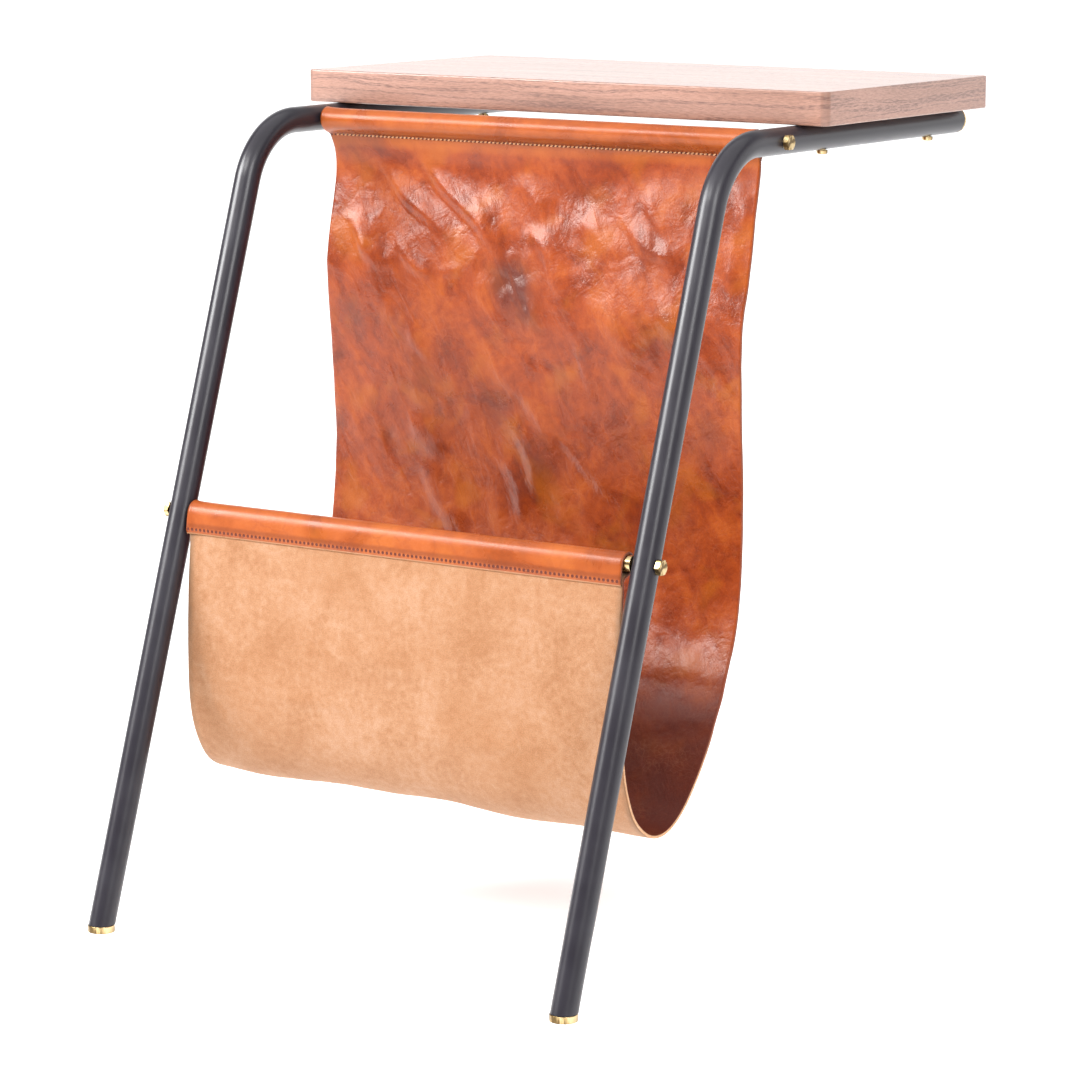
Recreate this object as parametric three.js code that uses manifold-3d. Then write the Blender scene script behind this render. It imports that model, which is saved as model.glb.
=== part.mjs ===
// A small side table that leans against a wall, with a leather magazine sling.
//
// Two bent steel tubes carry a walnut board. Each tube is a slanted front leg
// and a horizontal arm under the board. Two brass rods span the tubes, and a
// leather sheet is looped over both rods, so that it hangs as a pocket. There
// are no rear legs: the back edge of the board rests against the wall.
//
// Millimetres. +X is to the right, +Y towards the wall, +Z up. The origin is on
// the floor, at the centre of the part's footprint.

import * as THREE from "three";
import { mergeVertices } from "three/addons/utils/BufferGeometryUtils.js";
import Module from "manifold-3d";

const wasm = await Module();
wasm.setup();

// ---------------------------------------------------------------- dimensions

const HEIGHT = 600;
const GAP = 0.3; // between pieces that touch

const BOARD_WIDTH = 450;
const BOARD_DEPTH = 240;
const BOARD_THICKNESS = 24;
const BOARD_CORNER_RADIUS = 6;
const BOARD_EDGE_EASE = 1;

const TUBE_RADIUS = 9.5;
const TUBE_WALL = 1.5;
const TUBE_SPACING = 397; // between the axes of the two tubes
const LEG_LEAN = THREE.MathUtils.degToRad(18.8); // from vertical
const KNEE_AHEAD = 95; // the leg's and arm's axes meet this far ahead of the board
const BEND_RADIUS = 60;
const ARM_END_INSET = 2; // from the board's back edge

const FOOT_RADIUS = 9.7;
const FOOT_HEIGHT = 5;
const CAP_THICKNESS = 2.5;
const SPIGOT_LENGTH = 18;
const CHAMFER = 0.6; // on the rims of brass pieces

const ROD_RADIUS = 6;
const UPPER_ROD_AHEAD = 26; // ahead of the board's front edge
const LOWER_ROD_HEIGHT = 292;

const BOLT_HEAD_ACROSS_FLATS = 10;
const BOLT_HEAD_HEIGHT = 4;
const BOLT_RADIUS = 3;
const BOLT_REACH = 20; // into the rod's tapped end

const SCREW_HEAD_RADIUS = 4;
const SCREW_HEAD_HEIGHT = 3;
const SCREW_HEAD_DOME = 1.4; // height and inset of the head's rounded rim
const SCREW_RADIUS = 2.5;
const SCREW_REACH = 14; // into the board
const SCREW_SETBACKS = { front: 40, rear: 195 }; // behind the board's front edge

const INSERT_RADIUS = 4.3;
const INSERT_LENGTH = 14;

const LEATHER = 2; // thickness
const SLING_WIDTH = 371;
const SEAM_BELOW_ROD = 10; // from a rod's axis down to where the layers meet
const FLAP_BELOW_SEAM = 4.4;
const THREAD_BELOW_SEAM = 1;
const THREAD_RADIUS = 0.4;

// The sling's middle line between its two seams, as [distance ahead of the
// board's front edge, height]: down the back, round the bottom, up the front.
const SLING_LINE = [
  [23, 520],
  [28, 495],
  [34, 455],
  [36, 410],
  [34, 340],
  [37, 285],
  [44, 240],
  [60, 188],
  [88, 135],
  [118, 107],
  [150, 98],
  [178, 108],
  [191, 132],
  [196, 160],
  [197, 215],
  [196.5, 255],
];

const TUBE_SIDES = 28;
const BEND_STEPS = 10;
const ROUND_SIDES = 24;
const SMALL_ROUND_SIDES = 16;
const SLING_STEPS = 56;
const LOOP_STEPS = 9; // in half of a loop

// -------------------------------------------------------- derived positions

const BOARD_BOTTOM = HEIGHT - BOARD_THICKNESS;
const ARM_HEIGHT = BOARD_BOTTOM - GAP - TUBE_RADIUS;
const LEG_RUN = (ARM_HEIGHT - FOOT_HEIGHT / 2) * Math.tan(LEG_LEAN);
const FOOTPRINT_DEPTH = BOARD_DEPTH + KNEE_AHEAD + LEG_RUN + FOOT_RADIUS;
const BOARD_BACK = FOOTPRINT_DEPTH / 2;
const BOARD_FRONT = BOARD_BACK - BOARD_DEPTH;
const KNEE_Y = BOARD_FRONT - KNEE_AHEAD;
const FOOT_Y = KNEE_Y - LEG_RUN;
const ARM_END = BOARD_BACK - ARM_END_INSET - CAP_THICKNESS;
const TUBE_X = TUBE_SPACING / 2;
const TUBE_BORE = TUBE_RADIUS - TUBE_WALL;

const SIDES = { left: -1, right: 1 };
const ROD_HALF_LENGTH = TUBE_X - TUBE_RADIUS - GAP;

const LOWER_ROD_BELOW_ARM = ARM_HEIGHT - LOWER_ROD_HEIGHT;

// Each rod's axis, the side of the sheet that its flap is sewn to (+1 behind,
// -1 ahead), and how far to that side of the axis the seam hangs.
const RODS = {
  upper: {
    y: BOARD_FRONT - UPPER_ROD_AHEAD,
    z: ARM_HEIGHT,
    flapSide: 1,
    seam: 6,
  },
  lower: {
    y: KNEE_Y - LOWER_ROD_BELOW_ARM * Math.tan(LEG_LEAN),
    z: LOWER_ROD_HEIGHT,
    flapSide: -1,
    seam: 8,
  },
};

// ---------------------------------------------------------------- materials

const material = (color, roughness, metalness) =>
  new THREE.MeshStandardMaterial({ color, roughness, metalness });

const blackPaint = () => material(0x3c3c40, 0.42, 0.2);
const brass = () => material(0xe6c283, 0.28, 1);
const walnut = () => material(0xb98e7c, 0.5, 0);
const leather = () => material(0xd9763f, 0.45, 0);
const thread = () => material(0xe9a87c, 0.8, 0);

// ------------------------------------------------------------ solid helpers

function toSolid(geometry) {
  const bare = geometry.clone();
  bare.deleteAttribute("normal");
  bare.deleteAttribute("uv");
  const merged = mergeVertices(bare, 1e-4);
  return new wasm.Manifold(
    new wasm.Mesh({
      numProp: 3,
      vertProperties: new Float32Array(merged.attributes.position.array),
      triVerts: new Uint32Array(merged.index.array),
    })
  );
}

function toGeometry(solid) {
  const mesh = solid.getMesh();
  const geometry = new THREE.BufferGeometry();
  geometry.setAttribute("position", new THREE.BufferAttribute(mesh.vertProperties, 3));
  geometry.setIndex(new THREE.BufferAttribute(mesh.triVerts, 1));
  return geometry;
}

function cut(geometry, ...tools) {
  const subtract = (solid, tool) => solid.subtract(toSolid(tool));
  return toGeometry(tools.reduce(subtract, toSolid(geometry)));
}

function join(geometry, ...others) {
  const add = (solid, other) => solid.add(toSolid(other));
  return toGeometry(others.reduce(add, toSolid(geometry)));
}

// A solid of revolution about +Z, from [radius, z] pairs.
function turned(profile, sides = ROUND_SIDES) {
  const points = profile.map(([radius, z]) => new THREE.Vector2(radius, z));
  return new THREE.LatheGeometry(points, sides).rotateX(Math.PI / 2);
}

// A round bar about +Z.
function bar(radius, low, high, sides = ROUND_SIDES) {
  return turned([[0, low], [radius, low], [radius, high], [0, high]], sides);
}

// A disc on the plane z = 0, with a chamfer on its lower rim.
function chamferedDisc(radius, height) {
  return turned([
    [0, 0],
    [radius - CHAMFER, 0],
    [radius, CHAMFER],
    [radius, height],
    [0, height],
  ]);
}

function alongX(geometry) {
  return geometry.rotateY(Math.PI / 2);
}

// A profile in the YZ plane, extruded along X and centred on x = 0.
function acrossWidth(shape, width) {
  const geometry = new THREE.ExtrudeGeometry(shape, {
    depth: width,
    bevelEnabled: false,
    curveSegments: LOOP_STEPS,
  });
  const toWidth = new THREE.Matrix4().makeBasis(
    new THREE.Vector3(0, 1, 0),
    new THREE.Vector3(0, 0, 1),
    new THREE.Vector3(1, 0, 0)
  );
  return geometry.applyMatrix4(toWidth).translate(-width / 2, 0, 0);
}

// -------------------------------------------------------------------- board

function boardGeometry() {
  const ease = BOARD_EDGE_EASE;
  const radius = BOARD_CORNER_RADIUS - ease;
  const x = BOARD_WIDTH / 2 - BOARD_CORNER_RADIUS;
  const y = BOARD_DEPTH / 2 - BOARD_CORNER_RADIUS;
  const outline = new THREE.Shape();
  outline.absarc(x, y, radius, 0, Math.PI / 2);
  outline.absarc(-x, y, radius, Math.PI / 2, Math.PI);
  outline.absarc(-x, -y, radius, Math.PI, 1.5 * Math.PI);
  outline.absarc(x, -y, radius, 1.5 * Math.PI, 2 * Math.PI);
  const slab = new THREE.ExtrudeGeometry(outline, {
    depth: BOARD_THICKNESS - 2 * ease,
    bevelThickness: ease,
    bevelSize: ease,
    bevelSegments: 1,
    curveSegments: 3,
  });
  slab.translate(0, BOARD_FRONT + BOARD_DEPTH / 2, BOARD_BOTTOM + ease);
  const pockets = screwPlaces().map(({ x: pocketX, y: pocketY }) => {
    const pocket = bar(INSERT_RADIUS + GAP, -ease, INSERT_LENGTH + 2 * GAP, SMALL_ROUND_SIDES);
    return pocket.translate(pocketX, pocketY, BOARD_BOTTOM);
  });
  return cut(slab, ...pockets);
}

// -------------------------------------------------------------- side tubes

// A line through points with a given direction at each, one step per point.
class SteppedLine extends THREE.Curve {
  constructor(points, tangents) {
    super();
    this.points = points;
    this.tangents = tangents;
  }

  between(list, t) {
    const place = t * (list.length - 1);
    const index = Math.min(Math.floor(place), list.length - 2);
    return list[index].clone().lerp(list[index + 1], place - index);
  }

  getPoint(t) {
    return this.between(this.points, t);
  }

  getTangent(t) {
    return this.between(this.tangents, t).normalize();
  }

  getUtoTmapping(u) {
    return u;
  }
}

// The tube's middle line, from below the foot, round the bend, to the arm's end.
function tubeLine() {
  const up = new THREE.Vector3(0, Math.sin(LEG_LEAN), Math.cos(LEG_LEAN));
  const turn = Math.PI / 2 - LEG_LEAN;
  const setback = BEND_RADIUS * Math.tan(turn / 2);
  const centre = new THREE.Vector3(0, KNEE_Y + setback, ARM_HEIGHT - BEND_RADIUS);
  const bendStart = new THREE.Vector3(0, KNEE_Y, ARM_HEIGHT).addScaledVector(up, -setback);
  const fromCentre = bendStart.clone().sub(centre);
  const axis = new THREE.Vector3(-1, 0, 0);
  const points = [bendStart.clone().addScaledVector(up, -ARM_HEIGHT / Math.cos(LEG_LEAN))];
  const tangents = [up];
  for (let step = 0; step <= BEND_STEPS; step += 1) {
    const angle = (turn * step) / BEND_STEPS;
    points.push(fromCentre.clone().applyAxisAngle(axis, angle).add(centre));
    tangents.push(up.clone().applyAxisAngle(axis, angle));
  }
  points.push(new THREE.Vector3(0, ARM_END, ARM_HEIGHT));
  tangents.push(new THREE.Vector3(0, 1, 0));
  return new SteppedLine(points, tangents);
}

function tubeGeometry() {
  const section = new THREE.Shape().absarc(0, 0, TUBE_RADIUS, 0, 2 * Math.PI);
  section.holes.push(new THREE.Path().absarc(0, 0, TUBE_BORE, 0, 2 * Math.PI));
  const tube = new THREE.ExtrudeGeometry(section, {
    extrudePath: tubeLine(),
    steps: BEND_STEPS + 2,
    curveSegments: TUBE_SIDES / 2,
  });
  const block = 4 * TUBE_RADIUS + ARM_HEIGHT;
  const belowFoot = new THREE.BoxGeometry(block, block, block);
  belowFoot.translate(0, FOOT_Y, FOOT_HEIGHT + GAP - block / 2);
  const drill = (radius) => bar(radius + GAP, -2 * TUBE_RADIUS, 2 * TUBE_RADIUS, SMALL_ROUND_SIDES);
  const boltHoles = Object.values(RODS).map((rod) =>
    alongX(drill(BOLT_RADIUS)).translate(0, rod.y, rod.z)
  );
  const screwHoles = Object.values(SCREW_SETBACKS).map((setback) =>
    drill(SCREW_RADIUS).translate(0, BOARD_FRONT + setback, ARM_HEIGHT)
  );
  return cut(tube, belowFoot, ...boltHoles, ...screwHoles);
}

// A foot: a level disc, and a slanted spigot that is pressed into the leg.
function footGeometry() {
  const spigot = bar(TUBE_BORE - GAP, 0, SPIGOT_LENGTH + FOOT_HEIGHT);
  spigot.rotateX(-LEG_LEAN).translate(0, 0, FOOT_HEIGHT / 2);
  const belowMiddle = new THREE.BoxGeometry(4 * FOOT_RADIUS, 4 * FOOT_RADIUS, FOOT_HEIGHT);
  return join(chamferedDisc(FOOT_RADIUS, FOOT_HEIGHT), cut(spigot, belowMiddle));
}

// A cap: a disc, and a spigot that is pressed into the end of the arm.
function capGeometry() {
  const spigot = bar(TUBE_BORE - GAP, CHAMFER, SPIGOT_LENGTH);
  return join(chamferedDisc(TUBE_RADIUS, CAP_THICKNESS - GAP), spigot).rotateX(Math.PI / 2);
}

// ----------------------------------------------------------- rods and bolts

// A rod along X, tapped at both ends.
function rodGeometry() {
  const solid = alongX(bar(ROD_RADIUS, -ROD_HALF_LENGTH, ROD_HALF_LENGTH));
  const holes = Object.values(SIDES).map((side) => {
    const bottom = ROD_HALF_LENGTH - BOLT_REACH;
    const hole = bar(BOLT_RADIUS + GAP, bottom, 2 * ROD_HALF_LENGTH, SMALL_ROUND_SIDES);
    return alongX(hole).scale(side, side, 1);
  });
  return cut(solid, ...holes);
}

// A hexagon bolt along +X. The underside of its head is at the origin.
function boltGeometry() {
  const corner = BOLT_HEAD_ACROSS_FLATS / Math.sqrt(3);
  const head = turned(
    [
      [0, 0],
      [corner, 0],
      [corner, BOLT_HEAD_HEIGHT - CHAMFER],
      [corner - CHAMFER, BOLT_HEAD_HEIGHT],
      [0, BOLT_HEAD_HEIGHT],
    ],
    6
  );
  const shank = bar(BOLT_RADIUS, -2 * TUBE_RADIUS - BOLT_REACH, CHAMFER, SMALL_ROUND_SIDES);
  return alongX(join(head, shank));
}

// A pan-head screw along +Z. The underside of its head is at the origin.
function screwGeometry() {
  const dome = SCREW_HEAD_DOME;
  const head = turned([
    [0, -SCREW_HEAD_HEIGHT],
    [SCREW_HEAD_RADIUS - dome, -SCREW_HEAD_HEIGHT],
    [SCREW_HEAD_RADIUS - dome / 4, -SCREW_HEAD_HEIGHT + dome / 2],
    [SCREW_HEAD_RADIUS, -SCREW_HEAD_HEIGHT + dome],
    [SCREW_HEAD_RADIUS, 0],
    [0, 0],
  ]);
  const shank = bar(SCREW_RADIUS, -dome, 2 * TUBE_RADIUS + SCREW_REACH, SMALL_ROUND_SIDES);
  return join(head, shank);
}

// A threaded insert: the sleeve in the board that a screw turns into.
function insertGeometry() {
  const bore = SCREW_RADIUS + GAP;
  return turned(
    [
      [bore, 0],
      [INSERT_RADIUS, 0],
      [INSERT_RADIUS, INSERT_LENGTH],
      [bore, INSERT_LENGTH],
      [bore, 0],
    ],
    SMALL_ROUND_SIDES
  );
}

// The name and place of each screw.
function screwPlaces() {
  return Object.entries(SIDES).flatMap(([side, sign]) =>
    Object.entries(SCREW_SETBACKS).map(([row, setback]) => ({
      name: `${side}_${row}`,
      x: sign * TUBE_X,
      y: BOARD_FRONT + setback,
    }))
  );
}

// -------------------------------------------------------------------- sling

// The angle at which a line from a point touches a circle round the origin.
function tangentAngle([y, z], radius, side) {
  return Math.atan2(z, y) + side * Math.acos(radius / Math.hypot(y, z));
}

// An arc over the top of a circle, between tangents to two points below it.
function arcOver(path, radius, right, left) {
  return path.absarc(0, 0, radius, tangentAngle(right, radius, 1), tangentAngle(left, radius, -1));
}

// The leather round one rod, with the two layers of its seam and the flap. It
// is drawn round the origin with its flap behind, then turned to face its way.
function loopGeometry(rod) {
  const bore = ROD_RADIUS + GAP;
  const flap = [rod.seam + LEATHER, -SEAM_BELOW_ROD];
  const sheet = [rod.seam - LEATHER, -SEAM_BELOW_ROD];
  const fork = [rod.seam, LEATHER - SEAM_BELOW_ROD];
  const end = -SEAM_BELOW_ROD - FLAP_BELOW_SEAM;

  const outline = new THREE.Shape().moveTo(flap[0], end).lineTo(...flap);
  arcOver(outline, bore + LEATHER, flap, sheet);
  outline.lineTo(...sheet).lineTo(sheet[0], end);
  outline.holes.push(arcOver(new THREE.Path(), bore, fork, fork).lineTo(...fork));

  const loop = acrossWidth(outline, SLING_WIDTH);
  return loop.scale(rod.flapSide, rod.flapSide, 1).translate(0, rod.y, rod.z);
}

// The middle of the sheet's layer, a distance below a rod's seam.
function sheetAtSeam(rod, below) {
  const y = rod.y + rod.flapSide * (rod.seam - LEATHER / 2);
  return new THREE.Vector2(y, rod.z - SEAM_BELOW_ROD - below);
}

// The sheet between its seams: a strip of even thickness along a smooth line.
function sheetGeometry() {
  const line = new THREE.SplineCurve([
    sheetAtSeam(RODS.upper, 0),
    sheetAtSeam(RODS.upper, FLAP_BELOW_SEAM),
    ...SLING_LINE.map(([ahead, z]) => new THREE.Vector2(BOARD_FRONT - ahead, z)),
    sheetAtSeam(RODS.lower, FLAP_BELOW_SEAM),
    sheetAtSeam(RODS.lower, 0),
  ]);
  const face = (side) => {
    const points = [];
    for (let step = 0; step <= SLING_STEPS; step += 1) {
      const t = step / SLING_STEPS;
      const tangent = line.getTangentAt(t);
      const normal = new THREE.Vector2(-tangent.y, tangent.x);
      points.push(line.getPointAt(t).addScaledVector(normal, (side * LEATHER) / 2));
    }
    return points;
  };
  return acrossWidth(new THREE.Shape([...face(-1), ...face(1).reverse()]), SLING_WIDTH);
}

function slingGeometry() {
  return join(sheetGeometry(), ...Object.values(RODS).map(loopGeometry));
}

// The line of thread along the front of a seam, with its place.
function threadGeometry() {
  const sides = SMALL_ROUND_SIDES / 2;
  return alongX(bar(THREAD_RADIUS, -SLING_WIDTH / 2, SLING_WIDTH / 2, sides));
}

function threadPlace(rod) {
  const seamFront = rod.y + rod.flapSide * rod.seam - LEATHER;
  return [0, seamFront - THREAD_RADIUS - GAP, rod.z - SEAM_BELOW_ROD - THREAD_BELOW_SEAM];
}

// ----------------------------------------------------------------- assembly

const table = new THREE.Group();

function add(name, geometry, finish, [x, y, z] = [0, 0, 0]) {
  const mesh = new THREE.Mesh(geometry, finish);
  mesh.name = name;
  mesh.position.set(x, y, z);
  table.add(mesh);
}

add("board", boardGeometry(), walnut());
add("sling", slingGeometry(), leather());

for (const [side, sign] of Object.entries(SIDES)) {
  const x = sign * TUBE_X;
  add(`side_tube_${side}`, tubeGeometry(), blackPaint(), [x, 0, 0]);
  add(`foot_${side}`, footGeometry(), brass(), [x, FOOT_Y, 0]);
  add(`arm_cap_${side}`, capGeometry(), brass(), [x, BOARD_BACK - ARM_END_INSET, ARM_HEIGHT]);
}

for (const [level, rod] of Object.entries(RODS)) {
  add(`rod_${level}`, rodGeometry(), brass(), [0, rod.y, rod.z]);
  add(`seam_thread_${level}`, threadGeometry(), thread(), threadPlace(rod));
  for (const [side, sign] of Object.entries(SIDES)) {
    const headX = sign * (TUBE_X + TUBE_RADIUS + GAP);
    const bolt = boltGeometry().scale(sign, sign, 1);
    add(`rod_bolt_${level}_${side}`, bolt, brass(), [headX, rod.y, rod.z]);
  }
}

for (const { name, x, y } of screwPlaces()) {
  add(`board_screw_${name}`, screwGeometry(), brass(), [x, y, ARM_HEIGHT - TUBE_RADIUS - GAP]);
  add(`board_insert_${name}`, insertGeometry(), brass(), [x, y, BOARD_BOTTOM + GAP]);
}

export default table;
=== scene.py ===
"""A small walnut side table that leans against a wall, with a leather magazine sling."""

import math

import bpy
import numpy as np
from mathutils import Matrix, Vector, noise


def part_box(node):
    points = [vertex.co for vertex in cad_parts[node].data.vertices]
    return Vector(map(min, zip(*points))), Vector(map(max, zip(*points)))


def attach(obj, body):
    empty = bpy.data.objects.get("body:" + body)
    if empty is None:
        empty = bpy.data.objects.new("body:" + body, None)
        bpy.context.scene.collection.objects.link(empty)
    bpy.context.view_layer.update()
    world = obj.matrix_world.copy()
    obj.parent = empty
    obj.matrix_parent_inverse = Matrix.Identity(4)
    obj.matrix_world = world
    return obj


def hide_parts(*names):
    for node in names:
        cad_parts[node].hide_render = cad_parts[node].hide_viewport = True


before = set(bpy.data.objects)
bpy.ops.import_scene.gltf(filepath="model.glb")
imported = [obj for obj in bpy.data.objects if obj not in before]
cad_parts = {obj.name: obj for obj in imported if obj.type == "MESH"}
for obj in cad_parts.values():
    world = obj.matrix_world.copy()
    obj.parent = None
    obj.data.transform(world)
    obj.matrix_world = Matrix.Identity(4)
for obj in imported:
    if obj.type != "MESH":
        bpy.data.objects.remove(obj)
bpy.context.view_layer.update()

MM = 0.001
BODY = "root"

# ------------ places from the frame

SIDES = {"left": -1, "right": 1}
LEVELS = ("upper", "lower")

BOARD_LOW, BOARD_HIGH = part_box("board")
TUBE_LOW, TUBE_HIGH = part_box("side_tube_right")
TUBE_RADIUS = (TUBE_HIGH.x - TUBE_LOW.x) / 2
TUBE_X = (TUBE_HIGH.x + TUBE_LOW.x) / 2
ARM_HEIGHT = TUBE_HIGH.z - TUBE_RADIUS
ARM_END = TUBE_HIGH.y

FOOT_LOW, FOOT_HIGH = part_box("foot_right")
FOOT_RADIUS = (FOOT_HIGH.x - FOOT_LOW.x) / 2
FOOT_Y = FOOT_LOW.y + FOOT_RADIUS
FOOT_HEIGHT = 5 * MM

SLING_LOW, SLING_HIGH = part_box("sling")
SLING_WIDTH = SLING_HIGH.x - SLING_LOW.x
LEATHER = 2 * MM
GAP = 0.3 * MM
BEND_RADIUS = 60 * MM
STITCH_PITCH = 3.6 * MM


def middle_of(node):
    low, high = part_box(node)
    return (low + high) / 2


RODS = {level: middle_of(f"rod_{level}") for level in LEVELS}
ROD_RADIUS = (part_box("rod_upper")[1].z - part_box("rod_upper")[0].z) / 2
LEG_START = Vector((0, FOOT_Y, FOOT_HEIGHT / 2))
LEG_UP = (Vector((0, RODS["lower"].y, RODS["lower"].z)) - LEG_START).normalized()

# ------------ node helpers


def new_material(name):
    """An empty node material, as its tree and its main shader."""
    material = bpy.data.materials.new(name)
    material.use_nodes = True
    tree = material.node_tree
    return material, tree, tree.nodes["Principled BSDF"]


def feed(tree, node, inputs):
    """Sets a node's inputs. Each is a value, or another node's output to link."""
    for name, value in inputs.items():
        if isinstance(value, bpy.types.NodeSocket):
            tree.links.new(value, node.inputs[name])
        else:
            node.inputs[name].default_value = value


def add(tree, kind, inputs=None, **settings):
    """Adds a node, with its settings and its inputs."""
    made = tree.nodes.new(kind)
    for name, value in settings.items():
        setattr(made, name, value)
    feed(tree, made, inputs or {})
    return made


def calculate(tree, operation, first, second=0.0):
    inputs = {0: first, 1: second}
    return add(tree, "ShaderNodeMath", inputs, operation=operation).outputs[0]


def product(tree, first, second):
    return calculate(tree, "MULTIPLY", first, second)


def stretched(tree, vector, scale):
    """A vector with each of its axes scaled."""
    inputs = {"Vector": vector, "Scale": scale}
    return add(tree, "ShaderNodeMapping", inputs).outputs[0]


def cloudy(tree, vector, scale, detail=3.0, roughness=0.5, distortion=0.0):
    inputs = {
        "Vector": vector,
        "Scale": scale,
        "Detail": detail,
        "Roughness": roughness,
        "Distortion": distortion,
    }
    return add(tree, "ShaderNodeTexNoise", inputs).outputs["Fac"]


def cells(tree, vector, scale, feature="F1"):
    inputs = {"Vector": vector, "Scale": scale}
    return add(tree, "ShaderNodeTexVoronoi", inputs, feature=feature).outputs["Distance"]


def between(tree, value, low, high, to_low=0.0, to_high=1.0):
    """Maps low..high to to_low..to_high smoothly, and holds it outside."""
    inputs = {
        "Value": value,
        "From Min": low,
        "From Max": high,
        "To Min": to_low,
        "To Max": to_high,
    }
    made = add(tree, "ShaderNodeMapRange", inputs, interpolation_type="SMOOTHSTEP")
    return made.outputs["Result"]


def blend_colours(tree, factor, first, second, how="MIX"):
    inputs = {0: factor, 6: first, 7: second}
    return add(tree, "ShaderNodeMix", inputs, data_type="RGBA", blend_type=how).outputs[2]


def ramp(tree, factor, *stops):
    """A colour ramp from (position, colour) stops."""
    made = add(tree, "ShaderNodeValToRGB", {"Fac": factor})
    elements = made.color_ramp.elements
    while len(elements) < len(stops):
        elements.new(1.0)
    for element, (position, colour) in zip(elements, stops):
        element.position = position
        element.color = colour
    return made.outputs["Color"]


def bump(tree, height, depth, strength=1.0, under=None):
    inputs = {"Height": height, "Distance": depth, "Strength": strength}
    if under is not None:
        inputs["Normal"] = under
    return add(tree, "ShaderNodeBump", inputs).outputs["Normal"]


def rgb(red, green, blue):
    return (red, green, blue, 1.0)


def weighted(tree, *parts):
    """The sum of (value, weight) pairs."""
    total = 0.0
    for value, weight in parts:
        share = product(tree, value, weight)
        total = calculate(tree, "ADD", share, total)
    return total


def tint(tree, base, colour, mask, share=1.0):
    """Blends a colour over a base where a mask is high, up to a share."""
    return blend_colours(tree, product(tree, mask, share), base, colour)


def vector_sum(tree, first, second):
    inputs = {0: first, 1: second}
    return add(tree, "ShaderNodeVectorMath", inputs, operation="ADD").outputs[0]


def uv_of(tree, layer):
    return add(tree, "ShaderNodeUVMap", uv_map=layer).outputs["UV"]


def parts_of(tree, layer):
    """The two numbers that a UV map holds for each place."""
    return add(tree, "ShaderNodeSeparateXYZ", {0: uv_of(tree, layer)}).outputs[:2]


def place_in_piece(tree):
    return add(tree, "ShaderNodeTexCoord").outputs["Object"]


# ------------ materials


def walnut():
    """Walnut: the grain runs along the u axis of the UV map, in metres."""
    material, tree, shader = new_material("walnut")
    flat = uv_of(tree, "grain")
    drift = cloudy(tree, stretched(tree, flat, (9, 30, 1)), 1.0, 3)
    wander = add(tree, "ShaderNodeCombineXYZ", {"Y": product(tree, drift, 0.012)}).outputs[0]
    grain_at = vector_sum(tree, flat, wander)
    rings = cloudy(tree, stretched(tree, grain_at, (2.2, 150, 1)), 1.0, 2, 0.5)
    fibres = cloudy(tree, stretched(tree, grain_at, (150, 1250, 1)), 1.0, 3, 0.6)
    pores = cloudy(tree, stretched(tree, grain_at, (230, 1400, 1)), 1.0, 1, 0.5)
    figure = cloudy(tree, stretched(tree, grain_at, (7, 60, 1)), 1.0, 3, 0.5)
    tone = weighted(tree, (fibres, 0.52), (figure, 0.48))
    base = ramp(
        tree,
        tone,
        (0.36, rgb(0.205, 0.098, 0.066)),
        (0.50, rgb(0.290, 0.146, 0.102)),
        (0.64, rgb(0.365, 0.192, 0.140)),
    )
    from_ring = calculate(tree, "ABSOLUTE", calculate(tree, "SUBTRACT", rings, 0.5))
    ring_lines = between(tree, from_ring, 0.010, 0.045, 1.0, 0.0)
    dashes = between(tree, fibres, 0.42, 0.56, 1.0, 0.3)
    dark = rgb(0.120, 0.054, 0.040)
    toned = tint(tree, base, dark, product(tree, ring_lines, dashes), 0.75)
    open_pores = between(tree, pores, 0.56, 0.64)
    pored = tint(tree, toned, dark, open_pores, 0.28)
    normal = add(tree, "ShaderNodeTexCoord").outputs["Normal"]
    facing = add(tree, "ShaderNodeSeparateXYZ", {0: normal}).outputs
    # Painted shade: darkens the rounded upright corners, where their faces turn away from the
    # front.
    corner = calculate(tree, "ABSOLUTE", product(tree, facing[0], facing[1]))
    corner_shade_mask = between(tree, corner, 0.02, 0.3, 0.0, 0.3)
    corner_shaded = blend_colours(tree, corner_shade_mask, pored, rgb(0.120, 0.056, 0.038))
    look = {
        "Base Color": corner_shaded,
        "Roughness": between(tree, fibres, 0.3, 0.7, 0.48, 0.38),
        "Normal": bump(tree, open_pores, -0.05 * MM, 0.6),
        "Coat Weight": 0.6,
        "Coat Roughness": 0.22,
    }
    feed(tree, shader, look)
    return material


def seam_marks(tree):
    """Masks of the needle holes along the seams, and of the band above them that takes painted
    shade.
    """
    across, _ = parts_of(tree, "sheet")
    above, _ = parts_of(tree, "seam")
    step = calculate(tree, "FRACT", calculate(tree, "DIVIDE", across, STITCH_PITCH))
    step = product(tree, calculate(tree, "SUBTRACT", step, 0.5), STITCH_PITCH)
    spot = add(tree, "ShaderNodeCombineXYZ", {0: step, 1: above}).outputs[0]
    away = add(tree, "ShaderNodeVectorMath", {0: spot}, operation="LENGTH").outputs["Value"]
    holes = between(tree, away, 0.85 * MM, 1.3 * MM, 1.0, 0.0)
    rise = between(tree, above, 0.6 * MM, 2.0 * MM)
    fall = between(tree, above, 3.0 * MM, 5.5 * MM, 1.0, 0.0)
    return holes, product(tree, rise, fall)


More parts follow.
